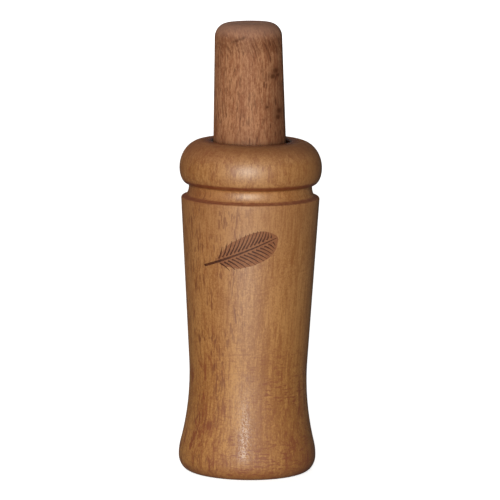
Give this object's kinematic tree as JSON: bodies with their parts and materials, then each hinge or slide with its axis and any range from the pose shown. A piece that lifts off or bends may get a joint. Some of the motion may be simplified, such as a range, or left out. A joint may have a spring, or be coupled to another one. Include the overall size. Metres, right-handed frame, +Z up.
{
  "type": "bird call",
  "caption": "Mouth-blown bird call: a turned barrel with a flared bell, a lanyard groove and a bead, and a push-fit split insert that holds a reed.",
  "frame": {"origin": "centre of the bell's rim, at the lowest point, where the call stands on its bell", "axes": "+Z up the barrel to the mouth end, -Y the side of the insert's cover, which is the side that the picture shows, and the mouthpiece leans slightly to -X"},
  "size_m": [0.032, 0.032, 0.1016],
  "materials": {
    "barrel_wood": "golden brown close-grained wood under satin lacquer, darker in the turned lines",
    "insert_wood": "pinkish brown wood with short dark flecks, oiled and nearly matte",
    "reed_film": "thin translucent film, smooth",
    "cork": "cut cork, matte",
    "seal_rubber": "matte black"
  },
  "bodies": {
    "barrel": {"barrel": "barrel_wood"},
    "o_rings": {"o_ring_lower": "seal_rubber", "o_ring_upper": "seal_rubber"},
    "insert": {"cover_half": "insert_wood", "tone_board": "insert_wood", "reed_wedge": "cork"},
    "reed": {"reed": "reed_film"}
  },
  "joints": [
    {"name": "insert_pull", "type": "slide", "parent": "barrel", "child": "o_rings", "axis": [0, 0, 1], "range_m": [0, 0.04]},
    {"name": "insert_turn", "type": "hinge", "parent": "o_rings", "child": "insert", "pos_m": [0, 0, 0.055], "axis": [0, 0, 1], "continuous": true},
    {"name": "reed_flex", "type": "hinge", "parent": "insert", "child": "reed", "pos_m": [0, 0, 0.0483], "axis": [-1, 0, 0], "range_deg": [0, 2], "stiffness_Nm_per_rad": 0.006}
  ]
}
